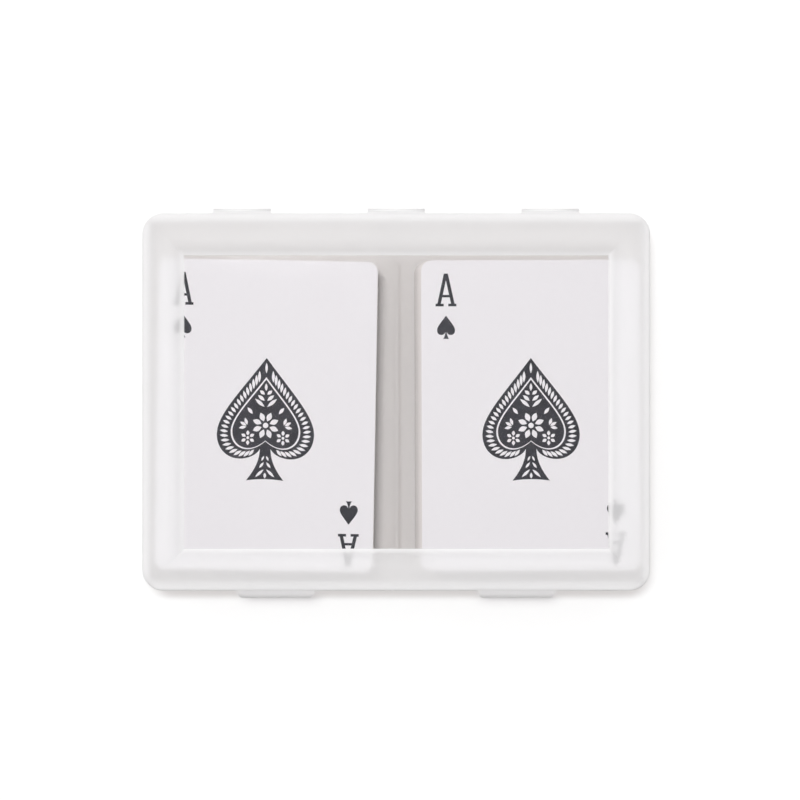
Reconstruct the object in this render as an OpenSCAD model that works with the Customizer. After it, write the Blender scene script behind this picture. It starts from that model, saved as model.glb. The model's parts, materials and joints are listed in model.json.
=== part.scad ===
// Hinged, see-through case with two decks of playing cards side by side.
// Millimetres, +Z up. The origin is the middle of the flat underside.
// The hinge straps are on the +Y face and the clasps on the -Y face.

/* [Cards] */
// Width of a card
card_w = 62; // [56:0.5:70]
// Length of a card, laid from front to back
card_d = 88; // [80:0.5:95]
// Radius of a card's corners
card_r = 3; // [2:0.25:6]
// Thickness of a card
card_t = 0.285; // [0.24:0.005:0.33]
// Air between one card and the next
card_air = 0.005; // [0.002:0.001:0.01]
// Cards in each suit
suit_cards = 13; // [8:1:14]
// Court cards in each suit
suit_courts = 3; // [2:1:4]
// Jokers in each deck
deck_jokers = 2; // [1:1:4]
// How far a card strays from its deck's straight edges
card_stray = 0.15; // [0:0.05:0.25]

/* [Decks in the case] */
// Space between the two decks
deck_gap = 13.2; // [8:0.2:16]
// Free space at the outer side of each deck
side_play = 1.6; // [1.2:0.1:3]
// Free space in front of the decks
front_play = 4; // [2:0.1:6]
// Free space behind the decks
rear_play = 11.5; // [10:0.5:16]
// How far the left deck lies to the right of the middle of its place
left_shift = 0.6; // [0:0.1:0.9]
// Turn of the left deck, in degrees
left_turn = -1; // [-1.1:0.1:0.4]
// How far the left deck's bottom card lies to the right of its top card
left_lean = 0; // [0:0.1:1]
// How far the right deck lies to the right of the middle of its place
right_shift = 0.6; // [-0.5:0.1:0.9]
// Turn of the right deck, in degrees
right_turn = 0.2; // [-0.2:0.1:0.3]
// How far the right deck's bottom card lies to the right of its top card
right_lean = -1.9; // [-2.2:0.1:-0.8]
// Gap between the floor and the lowest card
deck_seat = 0.02; // [0.01:0.01:0.05]
// Gap between the top card and the lid's panel
headroom = 0.5; // [0.3:0.1:1.5]

/* [Case] */
// Thickness of the side walls
wall = 1.6; // [1.4:0.1:2.2]
// Thickness of the base's floor
floor_t = 1.5; // [1:0.1:2.5]
// Height of the base's rim over the decks
rim_over_decks = 0.2; // [0.1:0.05:1]
// Radius of the case's upright corners
corner_r = 6; // [4:0.5:9]
// Radius of the case's outer top and bottom edges
edge_r = 2.5; // [1.5:0.25:3]
// Fillet between the floor and the walls inside
floor_fillet = 0.8; // [0.4:0.1:1]
// Height of the low divider between the decks
divider_h = 5; // [3:0.5:9]
// Thickness of the divider
divider_t = 1.4; // [1:0.1:2]
// Gap between the closed rims of base and lid
seam = 0.1; // [0.05:0.05:0.2]

/* [Lip on the base's rim] */
// Thickness of the lip
lip_t = 0.7; // [0.5:0.05:0.8]
// Height of the lip over the rim
lip_h = 1; // [0.6:0.1:1.2]
// Clearance between the lip and the lid
lip_play = 0.15; // [0.1:0.05:0.25]

/* [Lid] */
// Width of the raised border round the panel
border_w = 11.8; // [10:0.2:16]
// Height of the border over the panel
border_rise = 3; // [2:0.25:3.5]
// Radius of the border where it rolls down to the panel
border_roll = 6; // [4:0.25:6.5]
// Thickness of the border's skin
skin_t = 1.4; // [1:0.1:1.6]
// Thickness of the panel
panel_t = 1.2; // [0.8:0.1:1.6]

/* [Hinge] */
// Width of a hinge land where it leaves the wall
hinge_w = 16.8; // [12:0.1:20]
// Distance from the case's side to the middle of the nearest hinge
hinge_inset = 28.1; // [18:0.1:36]
// How far a hinge land stands out from the wall
hinge_land = 0.6; // [0.4:0.1:1.2]
// Height of a hinge land on each side of the seam
hinge_land_h = 1.9; // [1.7:0.1:2.2]
// Slant of a hinge land's ends
hinge_slant = 0.3; // [0.2:0.1:1.2]
// Thickness of the strap that folds
strap_t = 0.35; // [0.25:0.05:0.45]
// Radius of the folded strap at its middle
strap_r = 0.5; // [0.4:0.05:0.7]
// Straight run of the strap between a land and the fold
strap_run = 0.15; // [0.1:0.05:0.4]

/* [Clasps] */
// Distance from the case's side to the middle of the nearest clasp
clasp_inset = 37.8; // [22:0.1:46]
// Width of a clasp
clasp_w = 22; // [16:0.5:28]
// How far a clasp stands out from the front face
clasp_reach = 2.1; // [2:0.1:3]
// Thickness of a clasp's arm
clasp_t = 1.2; // [1:0.05:1.2]
// Height of a clasp's flexing root over the rim
clasp_rise = 2.05; // [1.9:0.05:2.3]
// Radius of the rolled root
root_r = 0.6; // [0.5:0.05:0.65]
// Clearance round the rolled root
root_play = 0.05; // [0.03:0.01:0.1]
// Radius of a clasp's top edge
clasp_edge_r = 1.1; // [0.5:0.1:1.2]
// Radius of a clasp's ends, seen from above
clasp_end_r = 2; // [1:0.1:2]
// Radius of a clasp's lower corners, seen from the front
clasp_foot_r = 2.2; // [1:0.1:3]
// Depth of the ridge that a clasp catches
catch_depth = 0.7; // [0.5:0.05:0.8]
// Height of that ridge
catch_h = 1.2; // [0.8:0.1:1.5]
// Distance from the rim down to the ridge's underside
catch_drop = 2.6; // [2:0.1:3.2]
// Height of the hook under the ridge
hook_h = 1.3; // [1:0.1:1.8]
// Length of the finger lip below the hook
finger_lip = 1.2; // [0.8:0.1:2]
// Clearance between hook, ridge and base
hook_play = 0.15; // [0.1:0.05:0.25]

/* [Hidden] */
$fn = 96;
// How far a cutting shape passes the surface that it cuts
bite = 1;

// Cards of a deck, from the bottom up
SUITS = ["club", "diamond", "heart", "spade"];
SIDES = ["left", "right"];
cards_in_deck = len(SUITS) * suit_cards + deck_jokers;
card_pitch = card_t + card_air;
deck_h = cards_in_deck * card_pitch;

// The space that the decks need, and the case round it
inner_w = 2 * card_w + deck_gap + 2 * side_play;
inner_d = card_d + front_play + rear_play;
inner_r = corner_r - wall;
case_w = inner_w + 2 * wall;
case_d = inner_d + 2 * wall;
deck_top = floor_t + deck_seat + deck_h;
base_h = deck_top + rim_over_decks;
panel_under = deck_top + headroom;
panel_top = panel_under + panel_t;
case_h = panel_top + border_rise;
panel_w = case_w - 2 * border_w;
panel_d = case_d - 2 * border_w;
border_run = sqrt(pow(border_roll, 2) - pow(border_roll - border_rise, 2));

// Where the decks lie
deck_x = (deck_gap + card_w) / 2;
deck_y = front_play - inner_d / 2 + card_d / 2;

// The fold line of the hinges, the root of the clasps, and how far both are from the middle
hinge_x = case_w / 2 - hinge_inset;
clasp_x = case_w / 2 - clasp_inset;
fold_y = case_d / 2 + hinge_land + strap_run;
fold_z = base_h + seam / 2;
root_z = base_h + clasp_rise;
catch_z = base_h - catch_drop;
// Heights on a clasp, from its root down
hook_top = catch_z - hook_play - root_z;
clasp_low = hook_top - hook_h - finger_lip;

// Angles, in degrees, that scatter the cards of a deck
stray_angle = 137.5;
stray_growth = 40;

// Colours as the photo shows them
FROSTED = [0.92, 0.92, 0.93, 0.6];
PAPER = [0.96, 0.95, 0.95];

CARD_GROUPS = ["jokers", for (s = SUITS, kind = ["numbers", "courts"]) str(s, "_", kind), "ace_of_spades"];

// A flat outline drawn in Y and Z, drawn out along X
module along_x(length)
    rotate([90, 0, 90])
        translate([0, 0, -length / 2])
            linear_extrude(length)
                children();

// A square from the origin whose lower right corner is rounded
module soft_foot(w, h, r)
    difference() {
        square([w, h]);
        translate([w - r, 0])
            difference() {
                translate([0, -bite]) square([r + bite, r + bite]);
                translate([0, r]) circle(r);
            }
    }

// A square from the origin whose upper right corner is rounded
module soft_top(w, h, r)
    translate([0, h]) mirror([0, 1]) soft_foot(w, h, r);

// A rounded rectangle round the origin
module rounded_rect(w, d, r) {
    square([w - 2 * r, d], center = true);
    square([w, d - 2 * r], center = true);
    for (x = [-1, 1], y = [-1, 1])
        translate([x * (w / 2 - r), y * (d / 2 - r)]) circle(r);
}

// A section carried round a rounded rectangle: its X is the distance out from the corner centres
module round_the_case(w, d, r)
    for (k = [0:3]) {
        across = k % 2 == 0 ? w : d;
        out = k % 2 == 0 ? d : w;
        rotate([0, 0, 90 * k])
            translate([0, out / 2 - r, 0]) {
                along_x(across - 2 * r) children();
                translate([across / 2 - r, 0, 0]) rotate_extrude(angle = 90) children();
            }
    }

// A rounded block whose top edges are rounded too
module soft_block(w, d, r, h, top_r) {
    round_the_case(w, d, r) soft_top(r, h, top_r);
    translate([0, 0, h / 2]) cube([w - 2 * r, d - 2 * r, h], center = true);
}

// Section of the base's wall: floor, wall and lip
module base_section() {
    difference() {
        soft_foot(corner_r, base_h, edge_r);
        translate([-bite, floor_t]) soft_foot(inner_r + bite, base_h, floor_fillet);
    }
    translate([inner_r, base_h - bite]) square([lip_t, lip_h + bite]);
}

// Land that carries the hinge straps: up is 1 on the lid and -1 on the base
module hinge_lands(up)
    for (k = [-1:1])
        translate([k * hinge_x, case_d / 2, base_h + (up > 0 ? seam : 0)])
            intersection() {
                along_x(hinge_w)
                    polygon([
                        [-wall / 2, 0], [hinge_land, 0], [hinge_land, up * hinge_land_h / 2],
                        [0, up * hinge_land_h], [-wall / 2, up * hinge_land_h]
                    ]);
                linear_extrude(4 * hinge_land_h, center = true)
                    polygon([
                        [-hinge_w / 2, -wall], [hinge_w / 2, -wall], [hinge_w / 2, 0],
                        [hinge_w / 2 - hinge_slant, hinge_land], [hinge_slant - hinge_w / 2, hinge_land],
                        [-hinge_w / 2, 0]
                    ]);
            }

// Ridges on the base's front face that the clasps hook under
module catches()
    for (s = [-1, 1])
        translate([s * clasp_x, -case_d / 2, catch_z])
            along_x(clasp_w - 2 * clasp_end_r)
                polygon([
                    [wall / 2, 0], [-catch_depth, 0], [-catch_depth, catch_h / 3],
                    [0, catch_h], [wall / 2, catch_h]
                ]);

module case_base() color(FROSTED) {
    round_the_case(case_w, case_d, corner_r) base_section();
    translate([0, 0, floor_t / 2]) cube([case_w - 2 * corner_r, case_d - 2 * corner_r, floor_t], center = true);
    translate([0, deck_y, floor_t + divider_h / 2 - bite / 2])
        cube([divider_t, card_d, divider_h + bite], center = true);
    hinge_lands(-1);
    catches();
}

// The hollow over the panel: it rolls out to the border's crest on all four sides
module panel_recess(roll, bottom)
    intersection() {
        rotate([0, 0, 90]) along_x(case_d) recess_section(panel_w, roll, bottom);
        along_x(case_w) recess_section(panel_d, roll, bottom);
    }

module recess_section(span, roll, bottom)
    difference() {
        translate([-span / 2 - border_run, bottom]) square([span + 2 * border_run, case_h + bite - bottom]);
        for (s = [-1, 1])
            translate([s * (span / 2 + border_run), case_h - border_roll]) circle(roll);
    }

module case_lid() color(FROSTED)
    difference() {
        union() {
            translate([0, 0, base_h + seam])
                soft_block(case_w, case_d, corner_r, case_h - base_h - seam, edge_r);
            hinge_lands(1);
        }
        panel_recess(border_roll, panel_top);
        // The hollow inside, under the border's skin and the panel
        difference() {
            translate([0, 0, base_h - bite])
                soft_block(inner_w, inner_d, inner_r, case_h - skin_t - base_h + bite, edge_r - skin_t);
            panel_recess(border_roll - skin_t, panel_under);
        }
        // The rebate that closes over the base's lip
        round_the_case(case_w, case_d, corner_r)
            translate([inner_r - bite, base_h - bite])
                square([bite + lip_t + lip_play, bite + lip_h + lip_play]);
        // The seats of the clasps' rolled roots
        for (s = [-1, 1])
            translate([s * clasp_x, -case_d / 2, root_z])
                along_x(clasp_w + 2 * hook_play) circle(root_r + root_play);
    }

// A strap folded in half round the fold line, between the land of the base and the land of the lid
module hinge_strap(k) color(FROSTED)
    translate([k * hinge_x, fold_y, fold_z])
        along_x(hinge_w - 2 * hinge_slant)
            difference() {
                union() {
                    circle(strap_r + strap_t / 2);
                    translate([-strap_run, -strap_r - strap_t / 2]) square([strap_run, 2 * strap_r + strap_t]);
                }
                circle(strap_r - strap_t / 2);
                translate([-strap_r - strap_t - strap_run, -strap_r + strap_t / 2])
                    square([strap_r + strap_t + strap_run, 2 * strap_r - strap_t]);
                translate([-2 * strap_r - strap_t - strap_run, -strap_r - strap_t])
                    square([2 * strap_r + strap_t, 2 * (strap_r + strap_t)]);
            }

// Side view of a clasp: rolled root, arm, hook and finger lip
module clasp_section() {
    circle(root_r);
    translate([0, -root_r]) mirror([1, 0]) soft_top(clasp_reach, 2 * root_r, min(clasp_edge_r, 2 * root_r));
    translate([-clasp_reach, clasp_low]) square([clasp_t, -root_r - clasp_low]);
    polygon([
        [-hook_play, hook_top], [-clasp_reach + clasp_t / 2, hook_top],
        [-clasp_reach + clasp_t / 2, hook_top - hook_h], [-clasp_reach + clasp_t, hook_top - hook_h],
        [-hook_play, hook_top - hook_h / 2]
    ]);
}

module clasp(s) color(FROSTED)
    translate([s * clasp_x, -case_d / 2, root_z])
        intersection() {
            along_x(clasp_w) clasp_section();
            linear_extrude(2 * case_h, center = true) clasp_outline(clasp_reach, clasp_end_r);
            rotate([90, 0, 0]) linear_extrude(2 * case_h, center = true) clasp_outline(-clasp_low, clasp_foot_r);
        }

// A clasp's outline from above or from the front: rounded at the corners that hang out
module clasp_outline(drop, r)
    translate([0, -drop]) {
        translate([-clasp_w / 2, r]) square([clasp_w, drop + case_h]);
        translate([r - clasp_w / 2, 0]) square([clasp_w - 2 * r, r + bite]);
        for (s = [-1, 1])
            translate([s * (clasp_w / 2 - r), r]) circle(r);
    }

// How far card i of a deck strays, from -1 to 1: the angles grow unevenly, so the eye sees no pattern
function stray(i, k) = sin(k * (stray_angle * i + stray_growth * i * i));

// One card, counted from the bottom of its deck
module card(side, i) {
    is_left = side == "left";
    down = 1 - i / (cards_in_deck - 1);
    x = (is_left ? -deck_x + left_shift : deck_x + right_shift) + down * (is_left ? left_lean : right_lean);
    loose = i == cards_in_deck - 1 ? 0 : card_stray;
    translate([x + loose * stray(i, 1), deck_y + loose * stray(i, 2), floor_t + deck_seat + i * card_pitch])
        rotate([0, 0, is_left ? left_turn : right_turn])
            linear_extrude(card_t)
                rounded_rect(card_w, card_d, card_r);
}

// First card and number of cards of each group, in the order of CARD_GROUPS
function group_size(g) =
    g == 0 ? deck_jokers :
    g == len(CARD_GROUPS) - 1 ? 1 :
    g % 2 == 0 ? suit_courts :
    suit_cards - suit_courts - (g == len(CARD_GROUPS) - 3 ? 1 : 0);
function group_start(g) = g == 0 ? 0 : group_start(g - 1) + group_size(g - 1);

module card_group(side, g) color(PAPER)
    for (i = [group_start(g) : group_start(g) + group_size(g) - 1])
        card(side, i);

case_base();
case_lid();
hinge_strap(-1);  // hinge_strap_left
hinge_strap(0);  // hinge_strap_middle
hinge_strap(1);  // hinge_strap_right
clasp(-1);  // clasp_left
clasp(1);  // clasp_right
for (side = SIDES, g = [0 : len(CARD_GROUPS) - 1])
    card_group(side, g);
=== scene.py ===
"""Looks of a frosted case with two decks of playing cards, laid out as an add-on and run as a script."""

import json
import math

import bmesh
import bpy
from bpy.props import FloatProperty, FloatVectorProperty, IntProperty, PointerProperty
from mathutils import Matrix, Vector
from mathutils.geometry import interpolate_bezier


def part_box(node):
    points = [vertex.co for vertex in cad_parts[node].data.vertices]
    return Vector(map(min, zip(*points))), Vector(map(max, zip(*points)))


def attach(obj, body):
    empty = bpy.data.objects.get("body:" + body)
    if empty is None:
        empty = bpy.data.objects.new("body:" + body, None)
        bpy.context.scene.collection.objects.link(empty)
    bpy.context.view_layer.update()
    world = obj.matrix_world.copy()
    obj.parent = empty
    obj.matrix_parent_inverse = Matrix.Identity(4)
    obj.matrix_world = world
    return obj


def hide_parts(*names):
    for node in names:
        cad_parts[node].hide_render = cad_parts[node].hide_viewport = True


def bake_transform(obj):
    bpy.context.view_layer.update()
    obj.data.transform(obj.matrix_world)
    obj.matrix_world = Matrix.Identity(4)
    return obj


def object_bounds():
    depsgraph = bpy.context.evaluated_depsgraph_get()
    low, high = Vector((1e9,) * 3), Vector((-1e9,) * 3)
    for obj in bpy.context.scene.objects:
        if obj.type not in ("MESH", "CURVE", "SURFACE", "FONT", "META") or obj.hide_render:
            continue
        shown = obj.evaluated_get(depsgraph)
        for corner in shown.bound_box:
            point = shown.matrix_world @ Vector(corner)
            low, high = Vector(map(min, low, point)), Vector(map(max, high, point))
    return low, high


bl_info = {
    "name": "Two-deck card case",
    "version": (1, 0, 0),
    "blender": (4, 5, 0),
    "location": "3D View > Sidebar > Card case",
    "description": "Finishes a packed card case: frosted shells, hinge straps, cards, prints and stage",
    "category": "Object",
}

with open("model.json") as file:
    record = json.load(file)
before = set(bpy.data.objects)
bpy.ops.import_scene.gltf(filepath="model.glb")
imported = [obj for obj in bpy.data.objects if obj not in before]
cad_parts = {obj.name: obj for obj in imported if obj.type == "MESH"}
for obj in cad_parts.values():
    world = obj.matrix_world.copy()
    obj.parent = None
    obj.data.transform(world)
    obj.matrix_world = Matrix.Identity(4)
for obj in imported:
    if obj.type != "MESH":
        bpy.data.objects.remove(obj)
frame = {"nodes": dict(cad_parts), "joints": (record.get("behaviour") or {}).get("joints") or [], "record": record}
CAD_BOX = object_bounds()

MM = 0.001
SIDES = ("left", "right")
HINGES = ("left", "middle", "right")
CLASPS = ("clasp_left", "clasp_right")


# What the frame says about the case

# How near to its level the panel's corners lie, and how little a card's cut edge looks up or down
LEVEL_PLAY = 0.01 * MM
CUT_SLOPE = 0.1


def named(rows, name):
    """The row of a list in the record that has this name."""
    for row in rows:
        if row["name"] == name:
            return row
    raise ValueError("the frame has nothing named " + name)


def panel_height():
    """Height of the lid's flat panel."""
    return named(frame["record"]["mounts"], "lid_panel")["pos_m"][2]


def panel_half_size():
    """Half the width and half the depth of the lid's panel, from the lid's own vertices."""
    level = panel_height()
    corners = [v.co for v in frame["nodes"]["case_lid"].data.vertices if abs(v.co.z - level) < LEVEL_PLAY]
    return max(c.x for c in corners), max(c.y for c in corners)


def card_place(side, group):
    """Middle of a group of cards, on top, and how far the cards are turned."""
    node = side + "_" + group
    low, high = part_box(node)
    edges = [p for p in frame["nodes"][node].data.polygons if abs(p.normal.z) < CUT_SLOPE]
    long_edge = max(edges, key=lambda p: p.area).normal
    turn = math.atan(long_edge.y / long_edge.x)
    return Vector(((low.x + high.x) / 2, (low.y + high.y) / 2, high.z)), turn


# Sizes, colours and light that a user would change

def length(name, description, default):
    return FloatProperty(name=name, description=description, default=default, unit="LENGTH", precision=5)


def share(name, description, default):
    return FloatProperty(name=name, description=description, default=default, min=0, max=1, subtype="FACTOR")


def tint(name, description, default):
    return FloatVectorProperty(name=name, description=description, default=default, size=3, subtype="COLOR")


class CardCaseSizes(bpy.types.PropertyGroup):
    """Sizes of the print and of the hinge straps"""

    index_width: length("Index width", "Width of the letter in a card's corner", 5.9 * MM)
    index_height: length("Index height", "Height of the letter in a card's corner", 9.3 * MM)
    index_stroke: length("Index stroke", "Thickness of the letter's strokes", 0.95 * MM)
    index_x: length("Index place across", "Distance of the index from the print's middle, across", 24.0 * MM)
    index_y: length("Index place along", "Distance of the index from the print's middle, along", 36.75 * MM)
    pip_width: length("Pip width", "Width of the small spade under the index", 5.1 * MM)
    pip_height: length("Pip height", "Height of the small spade under the index", 6.7 * MM)
    pip_y: length("Pip place along", "Distance of the small spade from the print's middle, along", 26.15 * MM)
    ace_width: length("Ace width", "Width of the large spade", 27.6 * MM)
    ace_height: length("Ace height", "Height of the large spade", 34.8 * MM)
    print_shift: length("Print shift", "How far the print sits in front of the card's middle", 1.15 * MM)
    ink_thickness: length("Ink thickness", "Thickness of the film of ink", 0.006 * MM)
    garland_leaves: IntProperty(
        name="Garland leaves", description="Leaves of the garland on each half of the large spade",
        default=24, min=8, max=40)
    back_margin: length("Back margin", "White margin round the print on a card's back", 3.2 * MM)
    back_pitch: length("Back pitch", "Distance between the lines on a card's back", 2.4 * MM)
    strap_thickness: length("Strap thickness", "Thickness of a hinge strap at its ends", 0.35 * MM)


class CardCaseFinish(bpy.types.PropertyGroup):
    """Colours and finishes"""

    plastic: tint("Plastic", "Tint of the lid's polished panel", (0.937, 0.932, 0.931))
    frosted: tint("Frosted plastic", "Tint of the frosted plastic", (0.85, 0.846, 0.85))
    lid_milk: tint("Lid milk", "Milky white of the lid, the clasps and the straps", (0.97, 0.963, 0.966))
    wall_milk: tint("Wall milk", "Milky white of the tray", (0.985, 0.965, 0.95))
    lid_light: tint("Light through lid", "Light that a face of the lid lets in", (0.93, 0.926, 0.93))
    wall_light: tint("Light through walls", "Light that a face of the tray lets in", (0.79, 0.772, 0.76))
    haze: share("Haze", "Milky share of the frosted border and of the tray's floor", 0.41)
    # On the border's edges this extra milk is a painted highlight; on the straps it is their own milkiness
    highlight_and_strap_haze: share("Rim haze", "Milky share of the border's edges and of the straps", 0.9)
    wall_haze: share("Wall haze", "Milky share of upright walls", 0.8)
    window_haze: share("Window haze", "Milky share of the lid's panel", 0.01)
    frost: share("Frost", "Roughness of the frosted border and walls", 0.58)
    window_frost: share("Window frost", "Roughness of the lid's panel", 0.04)
    paper: tint("Paper", "White of the cards' faces", (0.94, 0.922, 0.945))
    # The cut edges' colour is also the ground of the painted shade on the faces of the cards under the top one
    paper_edge: tint("Paper edge", "Colour of the cut edges of the cards", (0.80, 0.765, 0.748))
    left_back: tint("Left back", "Colour printed on the backs of the left deck", (0.35, 0.03, 0.04))
    right_back: tint("Right back", "Colour printed on the backs of the right deck", (0.04, 0.07, 0.28))
    ink: tint("Ink", "Colour of the print on the aces", (0.008, 0.008, 0.013))


class CardCaseStage(bpy.types.PropertyGroup):
    """Floor, light and camera"""

    view_width: length("View width", "Width of the picture at the panel's level", 226.4 * MM)
    camera_place: FloatVectorProperty(
        name="Camera place", description="Where the camera hangs", size=3, subtype="TRANSLATION",
        default=(1.06 * MM, 0.57 * MM, 0.8))
    floor: tint("Floor", "Colour of the floor", (0.9, 0.9, 0.9))
    floor_lift: share("Floor lift", "White that the camera sees on the floor besides its lit colour", 0.14)
    floor_size: length("Floor size", "Width of the floor", 6.0)
    floor_drop: length("Floor drop", "Gap between the floor and the case", 0.05 * MM)
    sky: FloatProperty(name="Sky", description="Strength of the light from all round", default=0.36)
    zenith: share("Zenith", "Strength of the sky overhead, beside the sky at the sides", 0.8)
    sky_lean: share("Sky lean", "How much brighter than the mean the bright side of the sky is", 0.7)
    key_power: FloatProperty(name="Key power", description="Power of the lamp", default=30.5, unit="POWER")
    key_width: length("Key width", "Width of the lamp", 0.5)
    key_depth: length("Key depth", "Depth of the lamp", 0.28)
    key_place: FloatVectorProperty(
        name="Key place", description="Where the lamp hangs", size=3, subtype="TRANSLATION",
        default=(-0.12, 0.3, 2.0))


# Shader maths as Python expressions

class Wire:
    """An output socket of a node tree: sums and products of wires add Math nodes."""

    def __init__(self, graph, socket):
        self.graph = graph
        self.socket = socket

    def out(self, name):
        """Another output of the same node."""
        return Wire(self.graph, self.socket.node.outputs[name])

    def math(self, operation, *operands):
        return self.graph.node("ShaderNodeMath", {"operation": operation}, dict(enumerate(operands)))

    def __add__(self, other):
        return self.math("ADD", self, other)

    def __radd__(self, other):
        return self.math("ADD", other, self)

    def __sub__(self, other):
        return self.math("SUBTRACT", self, other)

    def __rsub__(self, other):
        return self.math("SUBTRACT", other, self)

    def __mul__(self, other):
        return self.math("MULTIPLY", self, other)

    def __rmul__(self, other):
        return self.math("MULTIPLY", other, self)

    def __abs__(self):
        return self.math("ABSOLUTE", self)

    def most(self, other):
        return self.math("MAXIMUM", self, other)

    def least(self, other):
        return self.math("MINIMUM", self, other)

    def wave(self, pitch):
        """A sine of the given pitch."""
        return self.math("SINE", self * (2 * math.pi / pitch))

    def zigzag(self, pitch):
        """Runs from 0 up to half the pitch and back."""
        return self.math("PINGPONG", self, pitch / 2)


class Graph:
    """The node tree of a material or of the world."""

    def __init__(self, owner):
        owner.use_nodes = True
        self.tree = owner.node_tree
        self.tree.nodes.clear()

    def node(self, kind, settings=None, sockets=None):
        """Adds a node: its settings first, then values or links of its sockets; gives its first output."""
        made = self.tree.nodes.new(kind)
        for name, value in (settings or {}).items():
            setattr(made, name, value)
        for name, value in (sockets or {}).items():
            if isinstance(value, Wire):
                self.tree.links.new(value.socket, made.inputs[name])
            else:
                made.inputs[name].default_value = value
        return Wire(self, made.outputs[0]) if made.outputs else None

    def place(self):
        """Coordinates of the piece itself, which stay with it when it moves."""
        return self.node("ShaderNodeTexCoord").out("Object")

    def split(self, vector):
        parts = self.node("ShaderNodeSeparateXYZ", None, {0: vector})
        return parts, parts.out("Y"), parts.out("Z")

    def rise(self, value, low, high):
        """Goes softly from 0 at low to 1 at high."""
        return self.node("ShaderNodeMapRange", {"interpolation_type": "SMOOTHSTEP"},
                         {"Value": value, "From Min": low, "From Max": high})

    def noise(self, vector, pitch, detail=2.0, rough=0.5):
        return self.node("ShaderNodeTexNoise", None,
                         {"Vector": vector, "Scale": 1 / pitch, "Detail": detail, "Roughness": rough})

    def blend(self, factor, first, second):
        """Mixes two colours."""
        return self.node("ShaderNodeMix", {"data_type": "RGBA"},
                         {0: factor, 6: first, 7: second}).out(2)

    def normal(self):
        """The normal of the piece itself, which turns with it."""
        return self.node("ShaderNodeTexCoord").out("Normal")

    def facing(self):
        """Where a face looks along the piece's Z axis: 1 up, 0 sideways, -1 down."""
        return self.split(self.normal())[2]

    def upright(self, pull):
        """The normal pulled to the piece's Z axis, for light that scatters in the bulk on any slope."""
        stretch = {0: self.normal(), 1: (1.0, 1.0, pull)}
        pulled = self.node("ShaderNodeVectorMath", {"operation": "MULTIPLY"}, stretch)
        spaces = {"vector_type": "NORMAL", "convert_from": "OBJECT", "convert_to": "WORLD"}
        return self.node("ShaderNodeVectorTransform", spaces, {0: pulled})

    def bump(self, height, distance):
        return self.node("ShaderNodeBump", None, {"Height": height, "Distance": distance})

    def either(self, factor, first, second):
        """Mixes two shaders."""
        return self.node("ShaderNodeMixShader", None, {0: factor, 1: first, 2: second})

    def surface(self, shader):
        self.node("ShaderNodeOutputMaterial", None, {"Surface": shader})


def colour(value, bright=1.0):
    """A colour with full alpha, as sockets want it."""
    return (*[bright * c for c in value], 1.0)


def new_graph(name):
    material = bpy.data.materials.new(name)
    return material, Graph(material)


# Materials

# Lower than that of solid plastic, for a soft sheen
PLASTIC_IOR = 1.3
# Share of the milk's light that goes on through it, and how far its normal is pulled upright on the lid
MILK_THROUGH = 0.12
MILK_PULL = 5.0
GRAIN_PITCH = 0.4 * MM
GRAIN_DEPTH = 0.004 * MM
GRAIN_ROUGH = 0.6
CLOUD_PITCH = 15 * MM
CLOUD_FROST = 0.06
PLASTIC_DETAIL = 3.0
NOISE_MEAN = 0.5
# Facing at which a wall begins to count as upright, and at which it does so fully
WALL_FACING = (0.7, 0.3)
# How sharply the polish of the panel ends, how far it laps onto the short sides of the bevel,
# and how wide the milky edges of the border are, made milkier as a painted highlight
POLISH_EDGE = 0.04 * MM
POLISH_LAP = 0.25 * MM
BEVEL_HIGHLIGHT_RUN = 1.6 * MM
RIM_HIGHLIGHT_RUN = 3.7 * MM


def lid_zones(graph, place):
    """Masks of the lid: 1 on the panel, and 1 along both edges of the border round it, where a painted highlight
    goes.
    """
    half_w, half_d = panel_half_size()
    border = CAD_BOX[1].x - half_w
    x, y, _ = graph.split(place)
    out = (abs(x) - half_w - POLISH_LAP).most(abs(y) - half_d)
    panel = graph.rise(out, POLISH_EDGE, -POLISH_EDGE)
    bevel = graph.rise(out, BEVEL_HIGHLIGHT_RUN, 0.0) * (1 - panel)
    return panel, bevel.most(graph.rise(out, border - RIM_HIGHLIGHT_RUN, border))


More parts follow.
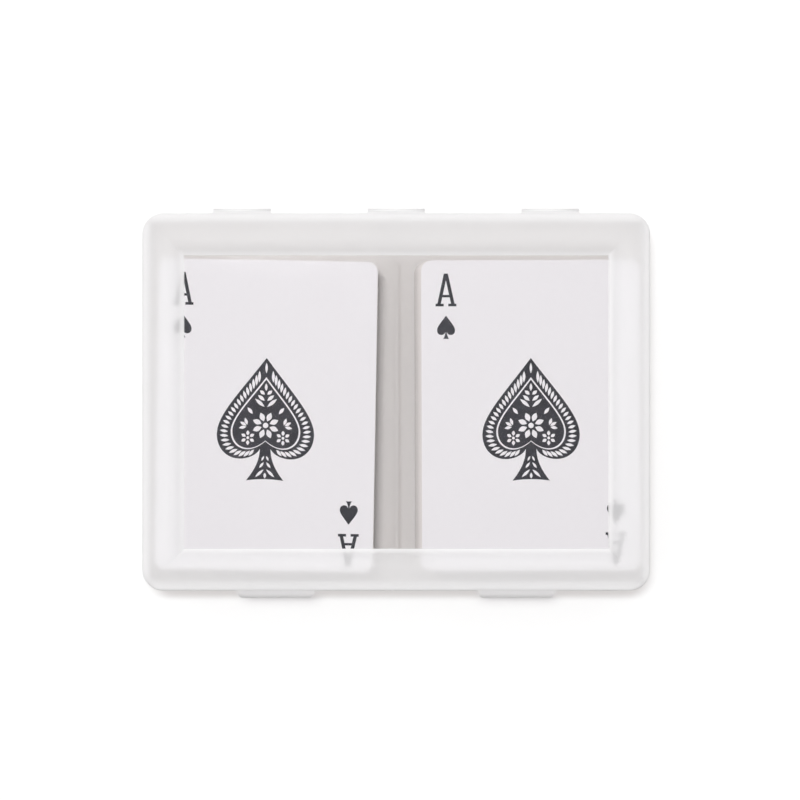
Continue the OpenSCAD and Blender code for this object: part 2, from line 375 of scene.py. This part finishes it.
def frosted_plastic(name, finish, haze, milk, light, window=False):
    """Milky, finely grained plastic that lets light in; with a window, the lid's panel is polished."""
    material, graph = new_graph(name)
    place = graph.place()
    grain = graph.noise(place, GRAIN_PITCH, PLASTIC_DETAIL, GRAIN_ROUGH)
    cloud = graph.noise(place, CLOUD_PITCH, PLASTIC_DETAIL)
    body_tint = colour(finish.frosted)
    frost = finish.frost
    height = grain
    scatter = {"Color": colour(milk)}
    if window:
        panel, edges = lid_zones(graph, place)
        # The border's edges are made milkier, and so brighter: a painted highlight along both edges
        haze = haze + edges * (finish.highlight_and_strap_haze - haze) + panel * (finish.window_haze - haze)
        body_tint = graph.blend(panel, body_tint, colour(finish.plastic))
        frost = frost + panel * (finish.window_frost - frost)
        height = grain * (1 - panel)
        scatter["Normal"] = graph.upright(MILK_PULL)
    else:
        haze = haze + graph.rise(abs(graph.facing()), *WALL_FACING) * (finish.wall_haze - haze)
    clear = graph.node("ShaderNodeBsdfPrincipled", None, {
        "Base Color": body_tint,
        "Roughness": frost + (cloud - NOISE_MEAN) * CLOUD_FROST,
        "IOR": PLASTIC_IOR,
        "Transmission Weight": 1.0,
        "Normal": graph.bump(height, GRAIN_DEPTH),
    })
    milk_front = graph.node("ShaderNodeBsdfDiffuse", None, scatter)
    milk_through = graph.node("ShaderNodeBsdfTranslucent", None, scatter)
    body = graph.either(haze, clear, graph.either(MILK_THROUGH, milk_front, milk_through))
    path = graph.node("ShaderNodeLightPath")
    let_in = graph.node("ShaderNodeBsdfTransparent", None, {"Color": colour(light)})
    body = graph.either(path.out("Is Shadow Ray"), body, let_in)
    graph.surface(graph.either(path.out("Is Diffuse Ray"), body, let_in))
    return material


LINEN_PITCH = 0.5 * MM
LINEN_SHARE = 0.25
FIBRE_PITCH = 1.1 * MM
FIBRE_DETAIL = 4.0
FIBRE_ROUGH = 0.6
FIBRE_SHARE = 0.4
# How much of a darker paper the fibres bring in, and how dark it is
FIBRE_TINT = 0.08
FIBRE_DARK = 0.96
PAPER_RELIEF = 0.004 * MM
PAPER_ROUGH = 0.62
PAPER_SHINE = 0.3
# How much rougher a cut edge is than a face
CUT_ROUGH = 0.2
# Facing at which a card's face ends, and at which its cut edge begins
FACE_END = 0.6
CUT_START = 0.4
BACK_LINE = 0.55 * MM
LINE_SOFTNESS = 0.1 * MM
# Painted shade on the faces of the lowest cards, seen as slivers: how dark it is, beside a cut edge near the top
STACK_SHADE = 0.75


def lattice(graph, u, v, pitch):
    """Crossed slanting lines: 1 on the ground, 0 on a line."""
    ground = 1.0
    for slant in (u + v, u - v):
        ground = ground * graph.rise(slant.zigzag(pitch), BACK_LINE / 2, BACK_LINE / 2 + LINE_SOFTNESS)
    return ground


def card_stock(name, finish, sizes, side):
    """Coated paper: linen-embossed faces, duller cut edges, painted stack shade, a lattice on the backs."""
    material, graph = new_graph(name)
    place = graph.place()
    x, y, z = graph.split(place)
    facing = graph.facing()
    is_edge = graph.rise(abs(facing), FACE_END, CUT_START)
    is_back = graph.rise(facing, -CUT_START, -FACE_END)
    fibre = graph.noise(place, FIBRE_PITCH, FIBRE_DETAIL, FIBRE_ROUGH)
    linen = x.wave(LINEN_PITCH) + y.wave(LINEN_PITCH)

    low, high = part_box(side + "_jokers")
    middle, turn = card_place(side, "jokers")
    u = (x - middle.x) * math.cos(turn) + (y - middle.y) * math.sin(turn)
    v = (y - middle.y) * math.cos(turn) - (x - middle.x) * math.sin(turn)
    half_w = (high.x - low.x) / 2 - sizes.back_margin
    half_d = (high.y - low.y) / 2 - sizes.back_margin
    inside = (half_w - abs(u)).least(half_d - abs(v))
    field = graph.rise(inside, 0.0, LINE_SOFTNESS)
    frame_line = graph.rise(abs(inside - 2 * BACK_LINE), BACK_LINE / 2, BACK_LINE / 2 + LINE_SOFTNESS)
    printed = is_back * field * frame_line * lattice(graph, u, v, sizes.back_pitch)

    white = graph.blend(fibre * FIBRE_TINT, colour(finish.paper), colour(finish.paper, FIBRE_DARK))
    back_ink = finish.left_back if side == "left" else finish.right_back
    ace_low, ace_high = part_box(side + "_ace_of_spades")
    # Painted shade: the faces of the cards under the top one take the cut edges' colour, darker towards the bottom
    # of the deck
    stack_shade_mask = graph.rise(z, ace_high.z, ace_low.z) * (1 - is_back)
    cut = colour(finish.paper_edge)
    shade = graph.blend(graph.rise(z, low.z, ace_low.z), colour(finish.paper_edge, STACK_SHADE), cut)
    face = graph.blend(printed, graph.blend(stack_shade_mask, white, shade), colour(back_ink))
    graph.surface(graph.node("ShaderNodeBsdfPrincipled", None, {
        "Base Color": graph.blend(is_edge, face, cut),
        "Roughness": PAPER_ROUGH + CUT_ROUGH * is_edge,
        "Specular IOR Level": PAPER_SHINE,
        "Normal": graph.bump(linen * LINEN_SHARE + fibre * FIBRE_SHARE, PAPER_RELIEF),
    }))
    return material


INK_PITCH = 1.4 * MM
INK_DETAIL = 3.0
INK_RELIEF = 0.003 * MM
INK_ROUGH = 0.6
INK_ROUGH_SPREAD = 0.15
INK_SHINE = 0.25
# How much lighter the thin patches of ink are
INK_THIN = 1.5


def card_ink(name, finish):
    """Dark printing ink, a little uneven."""
    material, graph = new_graph(name)
    patch = graph.noise(graph.place(), INK_PITCH, INK_DETAIL)
    graph.surface(graph.node("ShaderNodeBsdfPrincipled", None, {
        "Base Color": graph.blend(patch, colour(finish.ink), colour(finish.ink, INK_THIN)),
        "Roughness": INK_ROUGH + INK_ROUGH_SPREAD * patch,
        "Specular IOR Level": INK_SHINE,
        "Normal": graph.bump(patch, INK_RELIEF),
    }))
    return material


def studio_floor(name, stage):
    """Pale floor that the camera sees as white, with the object's shadow on it."""
    material, graph = new_graph(name)
    path = graph.node("ShaderNodeLightPath")
    seen = path.most(path.out("Is Glossy Ray")).most(path.out("Is Transmission Ray"))
    matte = graph.node("ShaderNodeBsdfDiffuse", None, {"Color": colour(stage.floor)})
    lift = graph.node("ShaderNodeEmission", None, {"Strength": seen * stage.floor_lift})
    graph.surface(graph.node("ShaderNodeAddShader", None, {0: matte, 1: lift}))
    return material


# Meshes

def new_piece(name, mesh, material):
    """Puts a mesh into the scene."""
    piece = bpy.data.objects.new(name, mesh)
    bpy.context.scene.collection.objects.link(piece)
    mesh.materials.append(material)
    return piece


def film(name, loops, thickness):
    """A thin flat mesh inside closed loops of points; a loop inside a loop is a hole."""
    curve = bpy.data.curves.new(name, "CURVE")
    curve.dimensions = "2D"
    curve.fill_mode = "BOTH"
    curve.extrude = thickness / 2
    for loop in loops:
        spline = curve.splines.new("POLY")
        spline.points.add(len(loop) - 1)
        for point, (x, y) in zip(spline.points, loop):
            point.co = (x, y, 0.0, 1.0)
        spline.use_cyclic_u = True
    holder = bpy.data.objects.new(name, curve)
    mesh = bpy.data.meshes.new_from_object(holder)
    bpy.data.objects.remove(holder)
    bpy.data.curves.remove(curve)
    mesh.name = name
    return mesh


STRAP_STEPS = 16
# How thin a strap is in the middle of its fold, beside its ends
STRAP_WAIST = 0.6
# Width of the softened edges at a strap's ends, beside its thickness, and steps across it
STRAP_EASE = 1 / 6
STRAP_EASE_STEPS = 2


def strap_section(low, high, fold, thickness):
    """Outline of a folded strap in Y and Z: out round the fold line and back inside, thinner at the fold."""
    outer_r = (high.z - low.z) / 2
    outside = [(low.y, fold.z - outer_r)]
    inside = [(low.y, fold.z - outer_r + thickness)]
    for k in range(STRAP_STEPS + 1):
        angle = math.pi * (k / STRAP_STEPS - 0.5)
        thin = thickness * (1 - (1 - STRAP_WAIST) * math.cos(angle))
        for run, r in ((outside, outer_r), (inside, outer_r - thin)):
            run.append((fold.y + r * math.cos(angle), fold.z + r * math.sin(angle)))
    outside.append((low.y, fold.z + outer_r))
    inside.append((low.y, fold.z + outer_r - thickness))
    return outside + inside[::-1]


def strap_mesh(name, low, high, fold, thickness):
    """A band along X with the folded section, its ends softened."""
    section = strap_section(low, high, fold, thickness)
    bm = bmesh.new()
    rings = [[bm.verts.new((x, y, z)) for y, z in section] for x in (low.x, high.x)]
    for k, here in enumerate(rings[0]):
        bm.faces.new((here, rings[0][k - 1], rings[1][k - 1], rings[1][k]))
    ends = [bm.faces.new(rings[0]), bm.faces.new(rings[1][::-1])]
    edges = dict.fromkeys(edge for end in ends for edge in end.edges)
    bmesh.ops.bevel(
        bm, geom=list(edges), offset=STRAP_EASE * thickness, segments=STRAP_EASE_STEPS,
        affect="EDGES", clamp_overlap=True)
    bmesh.ops.recalc_face_normals(bm, faces=bm.faces)
    mesh = bpy.data.meshes.new(name)
    bm.to_mesh(mesh)
    bm.free()
    mesh.shade_smooth()
    return mesh


# Outlines of the print, drawn in plain pairs of X and Y

def mirrored(half):
    """A closed outline from its right half, which runs from the axis back to the axis."""
    return half + [(-x, y) for x, y in reversed(half[1:-1])]


def bezier_run(curves, steps=12):
    """Points along cubic curves, each given as start, two handles and end."""
    points = []
    for curve in curves:
        places = interpolate_bezier(*[Vector((*p, 0.0)) for p in curve], steps)
        points += [(p.x, p.y) for p in places[:-1]]
    points.append(curves[-1][3])
    return points


def scaled(loop, width, height):
    return [(x * width, y * height) for x, y in loop]


def moved(loop, x, y):
    return [(px + x, py + y) for px, py in loop]


SPADE_TIP = (0.0, 1.0)
SPADE_WIDEST = (0.5, 0.378)
SPADE_LOBE = (0.26, 0.176)
ACE_NECK = (0.055, 0.26)
ACE_FOOT = 0.192
PIP_NECK = (0.04, 0.31)
PIP_FOOT = 0.164
# Where the curves of the stem bend, in shares of the neck and foot, and how high its foot is hollowed
STEM_BEND = (0.6, 0.3)
STEM_HOLLOW = (0.01, 0.012)


def spade_flank(neck):
    """Right edge of a spade one unit wide and high, from its tip round the lobe to the neck."""
    return [
        (SPADE_TIP, (0.27, 0.715), (0.5, 0.53), SPADE_WIDEST),
        (SPADE_WIDEST, (0.5, 0.26), (0.4, 0.176), SPADE_LOBE),
        (SPADE_LOBE, (0.17, 0.176), (0.075, 0.215), neck),
    ]


def spade(neck, foot):
    """Outline of a spade one unit wide and high, with its stem."""
    far, near = STEM_BEND
    low, high = STEM_HOLLOW
    stem = [
        (neck, (neck[0], far * neck[1]), (far * foot, near * neck[1]), (foot, 0.0)),
        ((foot, 0.0), (far * foot, low), (near * foot, high), (0.0, high)),
    ]
    return mirrored(bezier_run(spade_flank(neck) + stem))


LEAF_STEPS = 6


def leaf(start, end, width):
    """A pointed leaf from start to end."""
    along = Vector(end) - Vector(start)
    across = Vector((-along.y, along.x)).normalized() * (width / 2)
    points = []
    for side in (1, -1):
        for k in range(LEAF_STEPS):
            t = k / LEAF_STEPS if side > 0 else 1 - k / LEAF_STEPS
            p = Vector(start) + along * t + across * (side * math.sin(math.pi * t))
            points.append((p.x, p.y))
    return points


def ray(middle, degrees, reach):
    """The point at a distance from the middle, in a direction counted from +X."""
    angle = math.radians(degrees)
    return middle[0] + reach * math.cos(angle), middle[1] + reach * math.sin(angle)


def disc(middle, radius, steps=20):
    return [ray(middle, 360 * k / steps, radius) for k in range(steps)]


def fan(middle, angles, inner, outer, width):
    """Leaves that point out from a middle."""
    return [leaf(ray(middle, a, inner), ray(middle, a, outer), width) for a in angles]


# Radius of a flower's eye, beside that of its petals' inner ends
FLOWER_EYE = 0.62


def flower(middle, petals, inner, outer, width):
    """A ring of petals round a disc."""
    angles = [360 * (k + 0.5) / petals for k in range(petals)]
    return [disc(middle, FLOWER_EYE * inner)] + fan(middle, angles, inner, outer, width)


def both_sides(loops):
    return loops + [[(-x, y) for x, y in loop] for loop in loops]


# Heart of the large spade and notch between its lobes, in shares of its height, and points on each curve
HEART = 0.45
ACE_NOTCH = (0.0, 0.27)
FLANK_STEPS = 40
# Garland along the flank, in shares of the way from the heart and of the flank's length
GARLAND_OUTER = 0.94
GARLAND_INNER = 0.77
GARLAND_START = 0.075
GARLAND_END = 0.87
GARLAND_SLANT = 0.02
GARLAND_FILL = 0.55
FINE_LINE = (0.715, 0.68)
# Motifs inside it, in shares of the width, counted from the heart or, on the stem, from the foot
TIP_BUD = ((0.0, 0.535), (0.0, 0.645), 0.026)
ROSETTE = (8, 0.045, 0.141, 0.054)
EAR = ((0.190, 0.130), (0.253, 0.090), (0.317, 0.065))
EAR_ANGLE = 40
EAR_STEM = 0.013
EAR_WIDTH = 0.036
EAR_BUD = ((0.0, 0.353), (0.0, 0.433), 0.029)
LOBE_FLOWER = (0.181, -0.129)
LOBE_PETALS = (6, 0.024, 0.076, 0.034)
SIDE_FAN = (0.181, -0.013)
SIDE_ANGLES = (-10, 30, 70)
SIDE_LEAVES = (0.018, 0.094, 0.032)
SHOULDER_LEAF = ((0.134, 0.117), (0.188, 0.183), 0.035)
STEM_LEAVES = (
    ((0.013, 0.116), (0.098, 0.036), 0.029),
    ((0.013, 0.188), (0.058, 0.130), 0.025),
    ((0.011, 0.254), (0.036, 0.203), 0.020),
)
FOOT_LEAF = ((0.0, 0.022), (0.0, 0.083), 0.029)


def toward(point, middle, part):
    """The point at a part of the way from the middle to a point."""
    return tuple(m + (p - m) * part for p, m in zip(point, middle))


def garland(flank, heart, count):
    """Slanting leaves that follow the right flank from the tip to the neck."""
    reached = [0.0]
    for a, b in zip(flank, flank[1:]):
        reached.append(reached[-1] + math.dist(a, b))

    def at(part):
        """The point of the flank at a part of its length."""
        goal = part * reached[-1]
        i = next(n for n, v in enumerate(reached) if v >= goal)
        return toward(flank[i], flank[i - 1], (goal - reached[i - 1]) / (reached[i] - reached[i - 1]))

    pitch = (GARLAND_END - GARLAND_START) / (count - 1)
    loops = []
    for k in range(count):
        part = GARLAND_START + k * pitch
        start = toward(at(part), heart, GARLAND_OUTER)
        end = toward(at(part + GARLAND_SLANT), heart, GARLAND_INNER)
        loops.append(leaf(start, end, GARLAND_FILL * pitch * reached[-1]))
    return loops


def ace_ornament(sizes):
    """The large spade round its own middle: garland, fine line, rosette, ear of leaves, flowers and fans."""
    w, h = sizes.ace_width, sizes.ace_height
    heart = (0.0, HEART * h)
    flank = scaled(bezier_run(spade_flank(ACE_NOTCH), FLANK_STEPS), w, h)
    inner = [leaf(*TIP_BUD), leaf(*EAR_BUD), *flower((0.0, 0.0), *ROSETTE)]
    paired = [leaf(*SHOULDER_LEAF), *flower(LOBE_FLOWER, *LOBE_PETALS)]
    paired += fan(SIDE_FAN, SIDE_ANGLES, *SIDE_LEAVES)
    for height, reach in EAR:
        root = (EAR_STEM, height)
        paired.append(leaf(root, ray(root, EAR_ANGLE, reach), EAR_WIDTH))
    inner += both_sides(paired)
    stem = [leaf(*FOOT_LEAF)] + both_sides([leaf(*marks) for marks in STEM_LEAVES])
    loops = [scaled(spade(ACE_NECK, ACE_FOOT), w, h)]
    loops += both_sides(garland(flank, heart, sizes.garland_leaves))
    loops += [[toward(p, heart, part) for p in mirrored(flank)] for part in FINE_LINE]
    loops += [moved(scaled(loop, w, w), *heart) for loop in inner]
    loops += [scaled(loop, w, w) for loop in stem]
    return [moved(loop, 0.0, -h / 2) for loop in loops]


# Feet in shares of the letter's width and height, bar in shares of its height, the rest in strokes
LETTER_FOOT = (0.39, 0.08)
LETTER_BAR = (0.275, 0.35)
LETTER_APEX = 0.6
LETTER_LEG = 1.05
LETTER_SPREAD = 0.68


def index_letter(sizes):
    """The letter of the ace, with slab feet, round its own middle."""
    w, h, stroke = sizes.index_width, sizes.index_height, sizes.index_stroke
    foot_w, foot_t = LETTER_FOOT[0] * w, LETTER_FOOT[1] * h
    bar_low, bar_high = (part * h for part in LETTER_BAR)
    apex = LETTER_APEX * stroke
    leg = LETTER_LEG * stroke
    lean = w / 2 - foot_w / 2 + LETTER_SPREAD * stroke

    def outer(y):
        return apex + (lean - apex) * (h - y) / (h - foot_t)

    def inner(y):
        return outer(y) - leg

    right = [
        (0.0, h), (apex, h), (outer(foot_t), foot_t), (w / 2, foot_t), (w / 2, 0.0),
        (w / 2 - foot_w, 0.0), (w / 2 - foot_w, foot_t), (inner(foot_t), foot_t), (inner(bar_low), bar_low),
        (0.0, bar_low),
    ]
    peak = h - (h - foot_t) * (leg - apex) / (lean - apex)
    counter = [(0.0, peak), (inner(bar_high), bar_high), (0.0, bar_high)]
    return [moved(mirrored(half), 0.0, -h / 2) for half in (right, counter)]


def corner_print(sizes):
    """Letter and small spade in both corners of an ace."""
    pip = scaled(spade(PIP_NECK, PIP_FOOT), sizes.pip_width, sizes.pip_height)
    corner = [moved(loop, -sizes.index_x, sizes.index_y) for loop in index_letter(sizes)]
    corner.append(moved(pip, -sizes.index_x, sizes.pip_y - sizes.pip_height / 2))
    return corner + [[(-x, -y) for x, y in loop] for loop in corner]


# Direction of the bright side of the sky, and the height, as a sine, from which the sky turns to its zenith
SKY_SIDE = (-0.5, 0.85)
SKY_EDGE = 0.25


# Operators

class CARDCASE_OT_stage(bpy.types.Operator):
    """Sets up floor, light and camera"""

    bl_idname = "card_case.stage"
    bl_label = "Stage"

    def execute(self, context):
        scene = context.scene
        scene.view_settings.view_transform = "Standard"
        self.make_floor(scene)
        self.make_world(scene)
        self.make_key(scene)
        self.make_camera(scene)
        return {"FINISHED"}

    def make_floor(self, scene):
        stage = scene.card_case_stage
        half = stage.floor_size / 2
        corners = [(x * half, y * half, -stage.floor_drop) for x, y in ((-1, -1), (1, -1), (1, 1), (-1, 1))]
        mesh = bpy.data.meshes.new("floor")
        mesh.from_pydata(corners, [], [range(len(corners))])
        mesh.materials.append(studio_floor("studio_floor", stage))
        floor = bpy.data.objects.new("floor", mesh)
        scene.collection.objects.link(floor)

    def make_world(self, scene):
        stage = scene.card_case_stage
        scene.world = bpy.data.worlds.new("studio")
        graph = Graph(scene.world)
        x, y, z = graph.split(graph.node("ShaderNodeTexCoord"))
        white = (1.0, 1.0, 1.0)
        bright = graph.rise(y * SKY_SIDE[1] + x * SKY_SIDE[0], -1.0, 1.0)
        side = graph.blend(bright, colour(white, 1 - stage.sky_lean), colour(white, 1 + stage.sky_lean))
        sky = graph.blend(graph.rise(z, SKY_EDGE, 1.0), side, colour(white, stage.zenith))
        light = graph.node("ShaderNodeBackground", None, {"Color": sky, "Strength": stage.sky})
        graph.node("ShaderNodeOutputWorld", None, {"Surface": light})

    def make_key(self, scene):
        stage = scene.card_case_stage
        lamp = bpy.data.lights.new("key", "AREA")
        lamp.shape = "ELLIPSE"
        lamp.size = stage.key_width
        lamp.size_y = stage.key_depth
        lamp.energy = stage.key_power
        key = bpy.data.objects.new("key", lamp)
        scene.collection.objects.link(key)
        key.location = stage.key_place

    def make_camera(self, scene):
        stage = scene.card_case_stage
        data = bpy.data.cameras.new("camera")
        camera = bpy.data.objects.new("camera", data)
        scene.collection.objects.link(camera)
        camera.location = stage.camera_place
        data.lens = data.sensor_width * (camera.location.z - panel_height()) / stage.view_width
        scene.camera = camera


class CARDCASE_OT_shells(bpy.types.Operator):
    """Gives the base, the lid and the clasps their frosted plastic"""

    bl_idname = "card_case.shells"
    bl_label = "Shells and clasps"

    def execute(self, context):
        finish = context.scene.card_case_finish
        of_tray = (finish.wall_milk, finish.wall_light)
        of_lid = (finish.lid_milk, finish.lid_light)
        walls = frosted_plastic("frosted_plastic", finish, finish.haze, *of_tray)
        lid = frosted_plastic("frosted_lid", finish, finish.haze, *of_lid, window=True)
        clasp = frosted_plastic("frosted_clasp", finish, finish.haze, *of_lid)
        looks = {"case_base": walls, "case_lid": lid, **dict.fromkeys(CLASPS, clasp)}
        for name, material in looks.items():
            frame["nodes"][name].material_slots[0].material = material
        return {"FINISHED"}


class CARDCASE_OT_hinges(bpy.types.Operator):
    """Makes the three thin straps between base and lid, in their folded shape"""

    bl_idname = "card_case.hinges"
    bl_label = "Hinge straps"

    def execute(self, context):
        thickness = context.scene.card_case_sizes.strap_thickness
        finish = context.scene.card_case_finish
        of_lid = (finish.lid_milk, finish.lid_light)
        material = frosted_plastic("frosted_strap", finish, finish.highlight_and_strap_haze, *of_lid)
        fold = Vector(named(frame["joints"], "lid_hinge")["pos_m"])
        for name in HINGES:
            node = "hinge_strap_" + name
            low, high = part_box(node)
            mesh = strap_mesh("folded_strap_" + name, low, high, fold, thickness)
            strap = new_piece(mesh.name, mesh, material)
            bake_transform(strap)
            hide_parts(node)
        return {"FINISHED"}


class CARDCASE_OT_cards(bpy.types.Operator):
    """Gives every card its paper"""

    bl_idname = "card_case.cards"
    bl_label = "Cards"

    def execute(self, context):
        scene = context.scene
        for side in SIDES:
            paper = card_stock("card_paper_" + side, scene.card_case_finish, scene.card_case_sizes, side)
            for name, node in frame["nodes"].items():
                if name.startswith(side + "_"):
                    node.material_slots[0].material = paper
        return {"FINISHED"}


class CARDCASE_OT_prints(bpy.types.Operator):
    """Prints the aces on top of the decks"""

    bl_idname = "card_case.prints"
    bl_label = "Print of the aces"

    def execute(self, context):
        sizes = context.scene.card_case_sizes
        material = card_ink("card_ink", context.scene.card_case_finish)
        offset = Matrix.Translation((0, -sizes.print_shift, sizes.ink_thickness))
        for side in SIDES:
            middle, turn = card_place(side, "ace_of_spades")
            placing = Matrix.Translation(middle) @ Matrix.Rotation(turn, 4, "Z") @ offset
            for part, loops in (("large_spade", ace_ornament(sizes)), ("corners", corner_print(sizes))):
                mesh = film(side + "_ace_" + part, loops, sizes.ink_thickness)
                mesh.transform(placing)
                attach(new_piece(mesh.name, mesh, material), "deck_" + side)
        return {"FINISHED"}


class CARDCASE_PT_panel(bpy.types.Panel):
    """Lists the steps that dress the case"""

    bl_idname = "CARDCASE_PT_panel"
    bl_label = "Card case"
    bl_space_type = "VIEW_3D"
    bl_region_type = "UI"
    bl_category = "Card case"

    def draw(self, context):
        for step in STEPS:
            self.layout.operator(step.bl_idname)


STEPS = (CARDCASE_OT_stage, CARDCASE_OT_shells, CARDCASE_OT_hinges, CARDCASE_OT_cards, CARDCASE_OT_prints)
GROUPS = {
    "card_case_sizes": CardCaseSizes,
    "card_case_finish": CardCaseFinish,
    "card_case_stage": CardCaseStage,
}
CLASSES = (*GROUPS.values(), *STEPS, CARDCASE_PT_panel)


def register():
    for cls in CLASSES:
        bpy.utils.register_class(cls)
    for name, group in GROUPS.items():
        setattr(bpy.types.Scene, name, PointerProperty(type=group))


def unregister():
    for name in GROUPS:
        delattr(bpy.types.Scene, name)
    for cls in reversed(CLASSES):
        bpy.utils.unregister_class(cls)


def main():
    register()
    bpy.ops.card_case.stage()
    bpy.ops.card_case.shells()
    bpy.ops.card_case.hinges()
    bpy.ops.card_case.cards()
    bpy.ops.card_case.prints()


if __name__ == "__main__":
    main()
